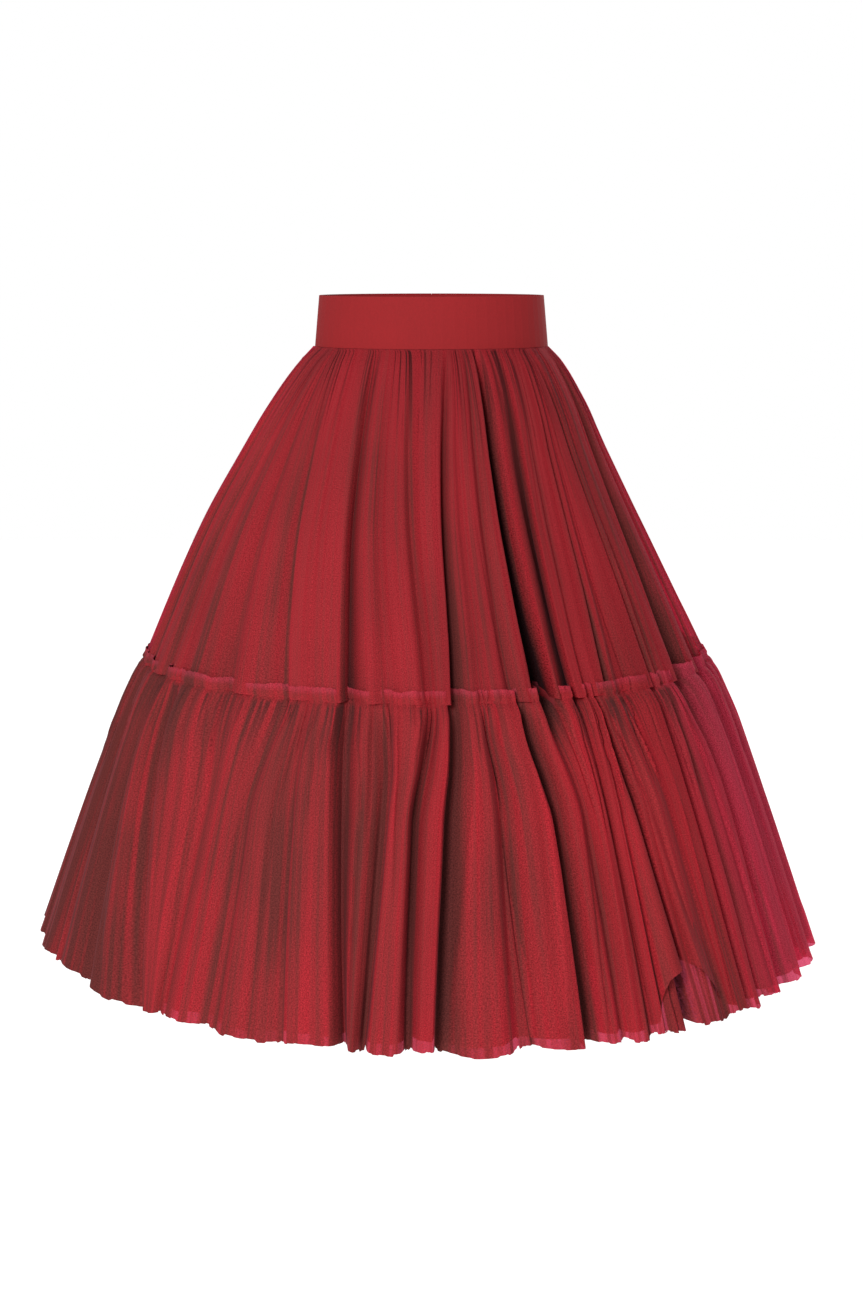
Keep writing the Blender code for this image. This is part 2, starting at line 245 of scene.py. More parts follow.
def crease_set(seed, count, depth, width, top, length, drift=0.004):
    """Random creases. Ranges are (low, high); depth, top and length are millimetres."""
    draw = np.random.default_rng(seed)
    place = (np.arange(count) + draw.uniform(-JITTER, JITTER, count)) / count
    return {
        "place": place % 1.0,
        "depth": draw.uniform(*depth, count) * draw.choice(DEPTH_SIGNS, count),
        "width": draw.uniform(*width, count),
        "top": draw.uniform(*top, count),
        "length": draw.uniform(*length, count),
        "drift": draw.uniform(-drift, drift, count),
        "side": draw.choice(SIDES, count),
    }


def pressed(place, drop, creases, tier):
    """How far in a set of creases pushes each point, less where the cloth hangs calmly."""
    total = np.zeros(place.shape)
    for i in range(len(creases["place"])):
        along = np.clip((drop - creases["top"][i]) / creases["length"][i], 0, 1)
        rows = (along > 0) & (along < 1)
        if not rows.any():
            continue
        along = along[rows][:, None]
        strength = 1 - np.abs(2 * along - 1) ** CREASE_FADE
        off = place[rows] - creases["place"][i] - creases["drift"][i] * along
        off = ((off + 0.5) % 1.0 - 0.5) * creases["side"][i] / creases["width"][i]
        soft = np.exp(-np.clip(off, 0, CREASE_END))
        sharp = np.exp(-((np.clip(off, -CREASE_END, 0) / SHARP_SIDE) ** 2))
        total[rows] += creases["depth"][i] * strength * soft * sharp
    return total * np.interp(place * FOLD_COUNT, CALM_FOLDS, CALM_SHARE[tier])


# %% [markdown]
# ## The cloth as a function
# A point of the cloth is named by its column, which is how far it is from one valley to
# the next, and by its level. The columns follow the folds down the skirt, so the mesh's
# lines run along the creases as the threads of hanging cloth do. The columns stand closer
# together near a valley, where the cloth turns most. The walls of the folds are steeper near
# the tier seam than far from it, and steepest of all in the narrow black recess of the upper
# tier, on the wearer's left. Reaches are shares of the way from one valley to the next.

# %% Shape of one fold
EVEN_REACH = 0.36
WIDE_REACH = 0.40
STEEP_REACH = 0.20
OVERHANG = 0.40
CROWDING = 0.62
WALL_POWER = (0.7, 1.35)
RECESS_FOLD = 14
RECESS_POWER = 0.25
LEE_REACH = 0.8
CROSSING = 110
CLOSING = 130
LINING_JOIN = 300
LEAST_WIDTH = 230
HANG_TOP = {"upper": 0.2, "ruffle": 0.6, "lining": 0.0}
HANG_RISE = {"upper": 240, "ruffle": 150, "lining": 240}
WANDER = 0.35
WANDER_LENGTH = (60, 150)
WANDER_FREE = 60
WANDER_SEED = 7


def valley(t, reach, power):
    """1 at the valley, falling smoothly to 0 at the given share of the way to the next."""
    t = np.clip(t / reach, 0, 1)
    return (1 - t * t * (3 - 2 * t)) ** power


def wall_power(drop, tier):
    """How steep the walls of each fold are at each drop: rows by folds."""
    closed = np.clip(np.abs(drop - SEAM_DROP) / CLOSING, 0, 1)
    near = np.full(FOLD_COUNT, WALL_POWER[0])
    if tier == "upper":
        near[RECESS_FOLD] = RECESS_POWER
    return near + (WALL_POWER[1] - near) * closed[:, None]


def reach_of(lean):
    """How far a valley's wall reaches on the side that a positive lean makes gentle."""
    return EVEN_REACH + np.where(lean > 0, WIDE_REACH, STEEP_REACH) * lean


def fold_share(drop):
    """How far a fold has gone from its place at the waist to its place at the seam."""
    return np.sqrt(np.clip((drop - WAIST_DROP) / (SEAM_DROP - WAIST_DROP), 0, 1))


def fold_angles(drop):
    """The angle of each fold's valley at each drop, in degrees: rows by folds."""
    share = fold_share(drop)[:, None]
    upper = FOLDS["waist"] + (FOLDS["seam"] - FOLDS["waist"]) * share
    below = (drop - SEAM_DROP)[:, None]
    to_hem = np.clip(below / (HEM_DROP - SEAM_DROP), 0, 1)
    ruffle = FOLDS["stitches"] + (FOLDS["hem"] - FOLDS["stitches"]) * to_hem
    crossed = np.clip(below / CROSSING, 0, 1)
    crossed = crossed**2 * (3 - 2 * crossed)
    draw = np.random.default_rng(WANDER_SEED)
    length = draw.uniform(*WANDER_LENGTH, FOLD_COUNT)
    phase = draw.uniform(0, 2 * np.pi, FOLD_COUNT)
    free = np.minimum(share, np.abs(below) / WANDER_FREE).clip(0, 1)
    wander = WANDER * free * np.sin(drop[:, None] / length + phase)
    wander[:, BACK_PAIR_AT:BACK_PAIR_AT + 2] = 0
    return upper + (ruffle - upper) * crossed + wander


def fold_depths(drop, opened, tier):
    """The depth of each fold's valley at each drop, in millimetres: rows by folds."""
    opened = opened[:, None]
    if tier == "lining":
        below = np.clip((drop - LINING_JOIN) / (SEAM_DROP - LINING_JOIN), 0, 1)[:, None]
        deepest = np.maximum(FOLDS["upper_depth"], FOLDS["ruffle_depth"])
        return (FOLDS["upper_depth"] * (1 - below) + deepest * below) * opened
    if tier == "upper":
        return FOLDS["upper_depth"] * opened
    share = np.clip(opened, 0, 1)
    return FOLDS["upper_depth"] * (1 - share) + FOLDS["ruffle_depth"] * opened


# %% [markdown]
# Net is not equally dense all round, and the finish paints light and shade by the same
# table. On the wearer's right the layers lie close on each other, and the colour there is
# darkened towards brown as painted shade; on the wearer's left a single thin layer stands out
# from the lining, so the light comes through it, and its colour is painted paler and pinker
# as that light. The table gives that by fold: above zero is denser and shaded darker than the
# front, below zero is thinner and painted lighter. The class then lays out a whole layer,
# with its folds first and its small creases on top of them.

# %% From column and level to a place
LAYER_FOLDS = (0, 2, 4, 6, 12, 18, 20, 22, 24, 26, 28, 31, 38, 46, 49)
DENSITY_AND_SIDE_LIGHT = {
    "upper": (-1, 0.4, 0.35, 0.1, 0, 0, 0, -0.2, -1, -1, -0.2, 0, 0, 0.2, -1),
    "ruffle": (1.0, 1.0, 0.75, 0.3, 0.1, 0.1, -0.2, -0.8, -1.1, -1, -0.4, 0, 0, 0.6, 1.1),
    "lining": (0,) * 15,
}


class Cloth:
    """All the points of one layer, all round: rows are levels and columns go round."""

    def __init__(self, levels, drop, per_fold, tier, overhang=1.0, inset=0.0, creases=()):
        self.drop = drop
        self.per_fold = per_fold
        values = level_values(levels, drop)
        self.fold(values["opened"], values["half_width"], tier, overhang)
        self.crease = np.zeros(self.place.shape)
        for made in creases:
            self.crease += pressed(self.place, drop, made, tier)
        self.layers = np.interp(self.place * FOLD_COUNT, LAYER_FOLDS, DENSITY_AND_SIDE_LIGHT[tier])
        inward = self.hollow + self.crease + inset
        turn = np.radians(self.angle)
        across = (values["half_width"][:, None] - inward) * np.sin(turn)
        across = across - values["sway"][:, None]
        deep = -(values["half_depth"][:, None] - inward) * np.cos(turn)
        down = np.repeat(-drop[:, None], across.shape[1], axis=1)
        self.points = np.stack([across, deep, down], axis=-1)

    def fold(self, opened, half_width, tier, overhang):
        """Finds each point's angle, how deep in a fold it lies and how far in its lee."""
        rows = len(self.drop)
        u = np.arange(self.per_fold) / self.per_fold
        t = u - CROWDING * np.sin(2 * np.pi * u) / (2 * np.pi)
        place = (np.arange(FOLD_COUNT)[:, None] + t) / FOLD_COUNT
        self.place = np.repeat(place.reshape(1, -1), rows, axis=0)

        depths = fold_depths(self.drop, opened, tier)[:, :, None]
        lean = FOLDS["ruffle_lean" if tier == "ruffle" else "upper_lean"][None, :, None]
        if tier == "lining":
            lean = 0 * lean
        next_depths, next_lean = np.roll(depths, -1, axis=1), np.roll(lean, -1, axis=1)
        right_reach, left_reach = reach_of(lean), reach_of(-next_lean)
        power = wall_power(self.drop, tier)[:, :, None]
        inward = depths * valley(t, right_reach, power)
        inward = inward + next_depths * valley(1 - t, left_reach, np.roll(power, -1, axis=1))
        self.hollow = inward.reshape(rows, -1)

        near_valley = np.clip(1 - t / LEE_REACH, 0, 1)
        near_next = np.clip(1 - (1 - t) / LEE_REACH, 0, 1)
        lee = depths * np.clip(lean, 0, 1) * near_valley
        lee = lee + next_depths * np.clip(-next_lean, 0, 1) * near_next
        self.lee = lee.reshape(rows, -1)

        right, left = t / right_reach, (1 - t) / left_reach
        full = FOLDS["ruffle_depth" if tier == "ruffle" else "upper_depth"][None, :, None]
        shift = np.roll(full, -1, axis=1) * np.clip(next_lean, 0, None) * left * np.exp(1 - left)
        shift = shift + full * np.clip(lean, None, 0) * right * np.exp(1 - right)
        width = np.maximum(half_width, LEAST_WIDTH)[:, None, None]
        start = SEAM_DROP if tier == "ruffle" else WAIST_DROP
        hang = np.clip((self.drop - start) / HANG_RISE[tier], 0, 1)
        hang = (HANG_TOP[tier] + (1 - HANG_TOP[tier]) * hang)[:, None, None]
        angles = fold_angles(self.drop)[:, :, None]
        next_angles = np.roll(angles, -1, axis=1)
        next_angles[:, -1] += 360
        angle = angles + (next_angles - angles) * t
        angle = angle + np.degrees(overhang * OVERHANG * hang * shift / width)
        self.angle = angle.reshape(rows, -1)

    def outward(self, by):
        """Moves every point away from the axis by the given millimetres."""
        turn = np.radians(self.angle)
        self.points[:, :, 0] += by * np.sin(turn)
        self.points[:, :, 1] -= by * np.cos(turn)


# %% [markdown]
# ## From rows of points to a cloth
# Each panel is a grid of quads between two seams. Net is thinner than a tenth of a
# millimetre, so it stays a single surface, and the thicker cloths get their thickness from
# a Solidify modifier. The mesh also keeps how deep in a fold each point lies and where it
# is on the flat cloth, because the materials need both, and how far it lies in the lee of
# an overhanging ridge, where less light comes in. The tulle's finish paints shade from the
# hollow and the lee, on top of the shading that the light itself gives.

# %% Mesh helpers
UV_WIDTH = 2.8
SEAM_GAP = 0.01
FRONT_START = FOLD_COUNT - 0.5
LEFT_START = FOLD_COUNT // 2 - 0.5
BACK_START = BACK_PAIR_AT + 0.5
STORED = ("hollow", "lee", "crease", "layers")


def only(thing):
    """Selects one object alone and makes it the active one."""
    bpy.ops.object.select_all(action="DESELECT")
    thing.select_set(True)
    bpy.context.view_layer.objects.active = thing


def applied(thing, kind, **settings):
    """Adds a modifier with its settings and applies it."""
    only(thing)
    made = thing.modifiers.new(kind.lower(), kind)
    for name, value in settings.items():
        setattr(made, name, value)
    bpy.ops.object.modifier_apply(modifier=made.name)


def grid_mesh(name, grid):
    """A mesh of quads through rows of points, in millimetres."""
    number = np.arange(grid.size // 3).reshape(grid.shape[:2])
    corners = (number[:-1, :-1], number[1:, :-1], number[1:, 1:], number[:-1, 1:])
    faces = np.stack([corner.ravel() for corner in corners], axis=1)
    mesh = bpy.data.meshes.new(name)
    mesh.from_pydata((grid.reshape(-1, 3) * MM).tolist(), [], faces.tolist())
    mesh.shade_smooth()
    return mesh


def cloth_object(mesh, thickness=0.0):
    """An object for a mesh, thickened inwards if the cloth is a thick one."""
    made = bpy.data.objects.new(mesh.name, mesh)
    bpy.context.scene.collection.objects.link(made)
    if thickness:
        applied(made, "SOLIDIFY", thickness=thickness, offset=-1.0, use_rim=True)
    return made


def panel(name, cloth, first, last, thickness=0.0):
    """A panel from one column to another. Columns are counted in folds."""
    columns = cloth.points.shape[1]
    start = round(first * cloth.per_fold)
    length = (round(last * cloth.per_fold) - start) % columns
    order = start + np.arange(length + 1)
    picked = order % columns
    grid = cloth.points[:, picked].copy()
    for end, neighbour in ((0, 1), (-1, -2)):
        along = grid[:, neighbour] - grid[:, end]
        grid[:, end] += SEAM_GAP * along / np.linalg.norm(along, axis=1)[:, None]
    mesh = grid_mesh(name, grid)
    for kind in STORED:
        stored = mesh.attributes.new(kind, "FLOAT", "POINT")
        values = getattr(cloth, kind)[:, picked]
        stored.data.foreach_set("value", values.ravel().astype(np.float32))
    across = (cloth.place[:, picked] + (order >= columns)) * UV_WIDTH
    down = np.repeat(cloth.drop[:, None] * MM, grid.shape[1], axis=1)
    flat = np.stack([across, down], axis=-1).reshape(-1, 2)
    uv = mesh.uv_layers.new(name="cloth")
    point_of = np.empty(len(mesh.loops), np.int32)
    mesh.loops.foreach_get("vertex_index", point_of)
    uv.data.foreach_set("uv", flat[point_of].ravel().astype(np.float32))
    return cloth_object(mesh, thickness)


def cloth_area(thing, sides=1):
    """The area of a cloth, in square metres."""
    return sum(face.area for face in thing.data.polygons) / sides


def sewn_in(piece, node=None, sides=1):
    """Puts a piece of cloth on the skirt, in a solid's place if it has one."""
    if node:
        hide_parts(node)
    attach(piece, "skirt")
    print(piece.name, "area", round(cloth_area(piece, sides), 3), "faces", len(piece.data.polygons))


# %% [markdown]
# ## Upper tier
# The upper tier is gathered into the band and hangs in long folds to the ruffle. Its three
# panels meet at the side seams and at the centre back, where the zip is.

# %% Build the upper tier
PER_FOLD = 32
WAIST_GATHERS = crease_set(11, 170, (1.0, 3.0), (0.0007, 0.0016), (12, 26), (30, 170))
LONG_LAPS = crease_set(12, 80, (0.8, 2.6), (0.0014, 0.0045), (10, 200), (160, 420), 0.012)
SEAM_PUCKERS = crease_set(13, 150, (0.4, 1.4), (0.0008, 0.0018), (300, 350), (50, 110))

upper_drop = np.concatenate([
    np.linspace(WAIST_DROP, 60, 14), np.linspace(60, 330, 30)[1:],
    np.linspace(330, SEAM_DROP, 8)[1:],
])
upper_cloth = Cloth(
    UPPER_LEVELS, upper_drop, PER_FOLD, "upper",
    creases=(WAIST_GATHERS, LONG_LAPS, SEAM_PUCKERS),
)
upper_front = panel("upper_front_tulle", upper_cloth, FRONT_START, LEFT_START + FOLD_COUNT)
upper_back_left = panel("upper_back_left_tulle", upper_cloth, LEFT_START, BACK_START)
upper_back_right = panel("upper_back_right_tulle", upper_cloth, BACK_START, FRONT_START)
sewn_in(upper_front, "upper_front")
sewn_in(upper_back_left, "upper_back_left")
sewn_in(upper_back_right, "upper_back_right")

# %% [markdown]
# ## Ruffle
# The ruffle is gathered much harder than the upper tier, so it puffs out below its stitching
# and falls in deeper folds. Its top edge stands up above the stitches as a small heading.

# %% Hem line and heading
FRONT_DIP = 11
LEFT_DIP = 9
HEM_STEP = 3
HEM_STEP_TURN = 2.4
HEM_SAW = (2.0, 7.5)
HEM_SAW_EDGE = 0.3
HEM_FRAY = 1.6
FRAY_COLUMNS = 4
FRAY_RISE = 40
LIFT_FOLD = 16.8
LIFT_WIDTH = 0.85
LIFT_EDGE = 4
STITCH_DROP = 367.5
STITCH_PINCH = 2.2
STITCH_WIDTH = 2.4
HEADING_RAG = 4.5
RAG_COLUMNS = 9
RAG_SHARES = (0.7, 0.3)
HEADING_FLARE = 0.7


def lower_hem(cloth, reach, seed, saw=HEM_SAW, lift=0.0):
    """Lets the hem follow the wearer's pose and end unevenly, fold by fold."""
    columns = cloth.angle.shape[1]
    draw = np.random.default_rng(seed)
    slope = draw.uniform(*saw, FOLD_COUNT) * draw.choice([-1, 1], FOLD_COUNT)
    fold = np.arange(columns) // cloth.per_fold
    t = (np.arange(columns) % cloth.per_fold) / cloth.per_fold
    turn = np.radians(cloth.angle[-1])
    lower = FRONT_DIP * np.clip(np.cos(turn), 0, None) ** 2 + LEFT_DIP * np.sin(turn)
    lower += HEM_STEP * np.sin(HEM_STEP_TURN * fold) * np.sin(np.pi * t)
    lower += slope[fold] * (t - 0.5) * np.sin(np.pi * t) ** HEM_SAW_EDGE
    lower -= lift * np.exp(-(((fold + t - LIFT_FOLD) / LIFT_WIDTH) ** LIFT_EDGE))
    steps = draw.uniform(-1, 1, columns // FRAY_COLUMNS + 1)
    steps = np.repeat(steps, FRAY_COLUMNS)[:columns]
    share = np.clip((cloth.drop - (cloth.drop[-1] - reach)) / reach, 0, 1)[:, None]
    cloth.points[:, :, 2] -= share * lower + HEM_FRAY * share**FRAY_RISE * steps


def shape_heading(cloth, seed):
    """Pinches the ruffle at its stitches and leaves its top edge ragged and standing out."""
    columns = cloth.angle.shape[1]
    draw = np.random.default_rng(seed)
    pinch = STITCH_PINCH * np.exp(-(((cloth.drop - STITCH_DROP) / STITCH_WIDTH) ** 2))
    above = np.clip((STITCH_DROP - cloth.drop) / (STITCH_DROP - cloth.drop[0]), 0, 1)
    cloth.outward((HEADING_FLARE * above - pinch)[:, None])
    knots = np.arange(0, columns, RAG_COLUMNS)
    coarse = np.interp(np.arange(columns), knots, draw.uniform(0, 1, len(knots)))
    ragged = RAG_SHARES[0] * coarse + RAG_SHARES[1] * draw.uniform(0, 1, columns)
    cloth.points[:, :, 2] -= HEADING_RAG * above[:, None] * ragged


# %% Build the ruffle
RUFFLE_PER_FOLD = 44
HEADING_PUCKERS = crease_set(25, 420, (0.8, 3.0), (0.0004, 0.0010), (345, 349), (22, 34))
RUFFLE_GATHERS = crease_set(21, 220, (2.0, 8.0), (0.0006, 0.0013), (360, 366), (24, 130))
RUFFLE_LAPS = crease_set(22, 90, (2.0, 8.0), (0.0016, 0.0048), (356, 470), (180, 420), 0.008)
RUFFLE_STREAKS = crease_set(24, 120, (0.4, 1.2), (0.0007, 0.0016), (370, 560), (120, 330))
HEM_CREASES = crease_set(23, 90, (0.6, 2.2), (0.0008, 0.0020), (480, 620), (120, 260))

ruffle_drop = np.concatenate([
    np.linspace(353, 375, 14), np.linspace(375, 420, 13)[1:], np.linspace(420, 640, 26)[1:],
    np.linspace(640, HEM_DROP, 9)[1:],
])
ruffle_cloth = Cloth(
    RUFFLE_LEVELS, ruffle_drop, RUFFLE_PER_FOLD, "ruffle",
    creases=(HEADING_PUCKERS, RUFFLE_GATHERS, RUFFLE_LAPS, RUFFLE_STREAKS, HEM_CREASES),
)
shape_heading(ruffle_cloth, seed=30)
lower_hem(ruffle_cloth, reach=260, seed=31)
ruffle_front = panel("ruffle_front_tulle", ruffle_cloth, FRONT_START, LEFT_START + FOLD_COUNT)
ruffle_back = panel("ruffle_back_tulle", ruffle_cloth, LEFT_START, FRONT_START)
sewn_in(ruffle_front, "ruffle_front")
sewn_in(ruffle_back, "ruffle_back")

# %% [markdown]
# ## Second ruffle layer
# Under the ruffle hangs a second layer of the same net, which ends a little higher. Where
# only one layer is left, at the hem, the edge looks paler and pinker. In one deep fold on
# the wearer's left the second layer is caught up, so that the lining's hem shows there.

# %% Build the layer under the ruffle
UNDER_INSET = 4.0
UNDER_SHORTER = 8.0
UNDER_LIFT = 52.0
UNDER_SAW = (2.0, 7.0)
UNDER_OVERHANG = 0.6
UNDER_PER_FOLD = 16
UNDER_CREASES = crease_set(41, 160, (0.4, 1.4), (0.0010, 0.0024), (365, 600), (80, 260))

under_drop = np.linspace(370, HEM_DROP - UNDER_SHORTER, 34)
under_cloth = Cloth(
    RUFFLE_LEVELS, under_drop, UNDER_PER_FOLD, "ruffle", overhang=UNDER_OVERHANG,
    inset=UNDER_INSET, creases=(UNDER_CREASES,),
)
lower_hem(under_cloth, reach=250, seed=32, saw=UNDER_SAW, lift=UNDER_LIFT)
under_front = panel("under_ruffle_front", under_cloth, FRONT_START, LEFT_START + FOLD_COUNT)
under_back = panel("under_ruffle_back", under_cloth, LEFT_START, FRONT_START)
sewn_in(under_front)
sewn_in(under_back)

# %% [markdown]
# ## Lining
# The lining follows the large folds a little further in and ends above the hem. Below it
# and beside it the net lets the light through, and in front of it the skirt looks solid.

# %% Build the lining
LINING_THICKNESS = 0.6 * MM
LINING_PER_FOLD = 10
LINING_SIDE_INSET = 14
LINING_LEFT_INSET = 10
DRAWN_FROM = 40
DRAWN_OVER = 120
LINING_LAPS = crease_set(51, 120, (0.3, 1.2), (0.0012, 0.0030), (60, 500), (100, 300))
LINING_HEM_DROP = 618


def draw_in(cloth):
    """Draws the lining in at both sides and lets its hem follow the skirt's."""
    turn = np.radians(cloth.angle)
    low = np.clip((cloth.drop - SEAM_DROP) / (LINING_HEM_DROP - SEAM_DROP), 0, 1)[:, None]
    start = np.clip((cloth.drop - DRAWN_FROM) / DRAWN_OVER, 0, 1)[:, None]
    cloth.outward(-LINING_SIDE_INSET * start * np.sin(turn) ** 4)
    cloth.outward(-LINING_LEFT_INSET * low * np.clip(np.sin(turn), 0, None))
    lower = FRONT_DIP * np.clip(np.cos(turn), 0, None) ** 2 + LEFT_DIP * np.sin(turn)
    cloth.points[:, :, 2] -= low * lower


lining_drop = np.concatenate([
    np.linspace(WAIST_DROP, 80, 9), np.linspace(80, LINING_HEM_DROP, 28)[1:],
])
lining_cloth = Cloth(
    LINING_LEVELS, lining_drop, LINING_PER_FOLD, "lining", overhang=0.0,
    creases=(LINING_LAPS,),
)
draw_in(lining_cloth)
lining_front = panel(
    "lining_front_cloth", lining_cloth, FRONT_START, LEFT_START + FOLD_COUNT, LINING_THICKNESS
)
lining_back_left = panel(
    "lining_back_left_cloth", lining_cloth, LEFT_START, BACK_START, LINING_THICKNESS
)
lining_back_right = panel(
    "lining_back_right_cloth", lining_cloth, BACK_START, FRONT_START, LINING_THICKNESS
)
sewn_in(lining_front, "lining_front", 2)
sewn_in(lining_back_left, "lining_back_left", 2)
sewn_in(lining_back_right, "lining_back_right", 2)

# %% [markdown]
# ## Band facing and zip tape
# A waistband is two layers of crepe. The solids are the outer one, and the inner one, the
# facing, lies against them, hides the seams and runs on behind the opening at the centre
# back as a guard. Below it a narrow tape carries the zip down the back seam of the tulle.

# %% Build the facing and the tape
FACING_TOP = (118.7, 90.7, 26.4)
FACING_FOOT = (123.3, 95.3, -26.8)
FACING_START_DEG = 181.0
FACING_TURN_DEG = 368.0
FACING_LAP_DEG = 14.0
FACING_LAP_INSET = 1.4
FACING_THICKNESS = 0.5 * MM
FACING_ROWS = 9
FACING_COLUMNS = 230
TAPE_HALF_WIDTH = 7.0
TAPE_ACROSS = (1, 0.3, -0.3, -1)
TAPE_INSET = 2.2
TAPE_DROP = 185.0


def strip(name, rows, thickness):
    """A cloth strip through rows of points, in millimetres."""
    return cloth_object(grid_mesh(name, np.array(rows)), thickness)


facing_angle = np.linspace(0, FACING_TURN_DEG, FACING_COLUMNS)
lap = np.clip((facing_angle - FACING_TURN_DEG + FACING_LAP_DEG) / FACING_LAP_DEG, 0, 1)
inset = FACING_LAP_INSET * lap
turn = np.radians(FACING_START_DEG + facing_angle)
facing_rows = []
for share in np.linspace(0, 1, FACING_ROWS):
    wide, deep, high = (top + (foot - top) * share for top, foot in zip(FACING_TOP, FACING_FOOT))
    facing_rows.append(np.stack(
        [(wide - inset) * np.sin(turn), -(deep - inset) * np.cos(turn), high + 0 * turn], axis=-1
    ))
band_facing = strip("band_facing", facing_rows, FACING_THICKNESS)
sewn_in(band_facing, sides=2)

back_line = upper_cloth.points[upper_drop <= TAPE_DROP, round(BACK_START * PER_FOLD)]
tape_rows = [
    [(side * TAPE_HALF_WIDTH, point[1] - TAPE_INSET, point[2]) for side in TAPE_ACROSS]
    for point in back_line
]
zip_tape = strip("zip_tape", tape_rows, FACING_THICKNESS)
sewn_in(zip_tape, sides=2)

# %% [markdown]
# ## Materials
# A small class wraps a socket so that shader maths reads like ordinary sums, and one
# method adds any other node.


# %% Shader maths
class Wire:
    """One output of a node, with the sums that a finish needs."""

    def __init__(self, tree, socket):
        self.tree, self.socket = tree, socket

    def math(self, operation, *others):
        """A Math node of this wire and others, which may be wires or numbers."""
        node = self.tree.nodes.new("ShaderNodeMath")
        node.operation = operation
        for slot, value in zip(node.inputs, (self, *others)):
            if isinstance(value, Wire):
                self.tree.links.new(value.socket, slot)
            else:
                slot.default_value = value
        return Wire(self.tree, node.outputs[0])

    def __add__(self, other):
        return self.math("ADD", other)

    __radd__ = __add__

    def __mul__(self, other):
        return self.math("MULTIPLY", other)

    __rmul__ = __mul__

    def __sub__(self, other):
        return self.math("SUBTRACT", other)

    def __rsub__(self, other):
        return (self * -1.0) + other

    def clamped(self):
        made = self.math("ADD", 0.0)
        made.socket.node.use_clamp = True
        return made

    def power(self, exponent):
        return self.math("POWER", exponent)


class Finish:
    """A material that is built node by node."""

    def __init__(self, name):
        self.material = bpy.data.materials.new(name)
        self.material.use_nodes = True
        self.tree = self.material.node_tree
        self.tree.nodes.clear()

    def node(self, kind, settings=None, output=0, **inputs):
        """Any node. A socket goes by its name, or by i and its number where names repeat."""
        made = self.tree.nodes.new("ShaderNode" + kind)
        for name, value in (settings or {}).items():
            setattr(made, name, value)
        for name, value in inputs.items():
            numbered = name[0] == "i" and name[1:].isdigit()
            slot = made.inputs[int(name[1:]) if numbered else name.replace("_", " ")]
            if isinstance(value, Wire):
                self.tree.links.new(value.socket, slot)
            else:
                slot.default_value = value
        return Wire(self.tree, made.outputs[output])

    def mixed(self, share, low, high):
        """A colour between two, by a value from 0 to 1."""
        return self.node("Mix", {"data_type": "RGBA"}, output=2, i0=share, i6=low, i7=high)

    def done(self, surface):
        """Ends the material with its surface and hands it over."""
        out = self.tree.nodes.new("ShaderNodeOutputMaterial")
        self.tree.links.new(surface.socket, out.inputs["Surface"])
        return self.material


# %% [markdown]
# ## Tulle
# Tulle is a net, so it is partly see-through: what is behind it shows, tinted by the dyed
# threads. Where folds lie on each other there are more layers, so the hollows look denser,
# and their darkness is also painted shade: the colour turns to a shaded red in the hollows,
# in the lee of overhanging ridges and along creases, and to near black in the deepest pits
# and in the slits between gathers. A ridge with light behind it turns pink, partly through
# the open net and partly by a paler pink painted as light where the net is thin and along
# the heading's free edge. The finer patterns are noises on the flat cloth, each given by
# its scale across, its scale down and its detail.

# %% The tulle's colours and patterns
# The lit colours are the net's own red in light. The shaded red, the two pit colours and the pale
# pink are painted shade, painted near-black shade and painted light, and the finish mixes them in.
TULLE_LIT = (0.53, 0.030, 0.042, 1.0)
RUFFLE_LIT = (0.44, 0.020, 0.030, 1.0)
TULLE_SHADED = (0.125, 0.022, 0.020, 1.0)
UPPER_PIT_SHADE = (0.016, 0.006, 0.007, 1.0)
RUFFLE_PIT_SHADE = (0.068, 0.018, 0.017, 1.0)
TULLE_PAINTED_LIGHT = (0.70, 0.058, 0.118, 1.0)
TULLE_THROUGH = (0.80, 0.12, 0.23, 1.0)
TULLE_SHEEN = (0.95, 0.30, 0.40, 1.0)

STREAKS = (230.0, 2.0, 3.0)
WIDE_LAPS = (42.0, 0.9, 1.0)
NARROW_LAPS = (95.0, 1.6, 1.0)
CLOUDS = (7.0, 5.0, 2.0)
GRAIN = (760.0, 760.0, 1.0)
BUNCHES = (13.0, 1.0, 1.0)
SLITS = (190.0, 6.0, 1.0)
NET_SCALE = 720.0
NOISE_ROUGHNESS = 0.6
HALF = 0.5
LAP_EDGE = 9.0
THREAD_EDGE = 4.5
GATHER_EDGE = 250.0
BUNCH_FROM = 0.42
BUNCH_EDGE = 7.0
SLIT_EDGE = 14.0
SLIT_RARITY = 0.3
SLIT_SHADE = 0.85

# %% [markdown]
# The next numbers are weights. The first group says how much each thing darkens the colour
# towards the shaded red: for creases this is painted shade, for the side table painted shade
# together with denser net, and for streaks, laps and clouds the net's uneven tone. The second
# says how much each lights or darkens the colour, and the third how much it closes the
# net. A pit is a hollow so deep that hardly any light comes back out of it, and its near
# black is painted shade. The rim is the free edge of the heading, which catches the light,
# and its paler pink is a painted highlight.

# %% The tulle's weights
CREASE_SHADE = 0.06
LAYER_SHADE = 0.45
STREAK_SHADE = 1.1
LAP_SHADE = 0.26
CLOUD_SHADE = 0.8
BASE_SHADE = 0.28

GRAIN_LIGHT = 1.3
THREAD_LIGHT = 0.22
THREAD_LIGHT_MIDDLE = 0.3
STREAK_LIGHT = 0.3

DEPTH_COVER = 0.20
LAP_COVER = 0.10
STREAK_COVER = 0.25
THREAD_COVER = 0.2
THREAD_COVER_MIDDLE = 0.35
LAYER_COVER = 0.30

PIT_LEE = 0.35
PIT_POWER = 2.0
PIT_RISE = 30.0
RIM = 0.0085
RIM_EDGE = 160.0
RIM_HIGHLIGHT_SHARE = 0.22
NO_TOP = -1.0
NO_HEM = 9.0

# %% The tulle's finish


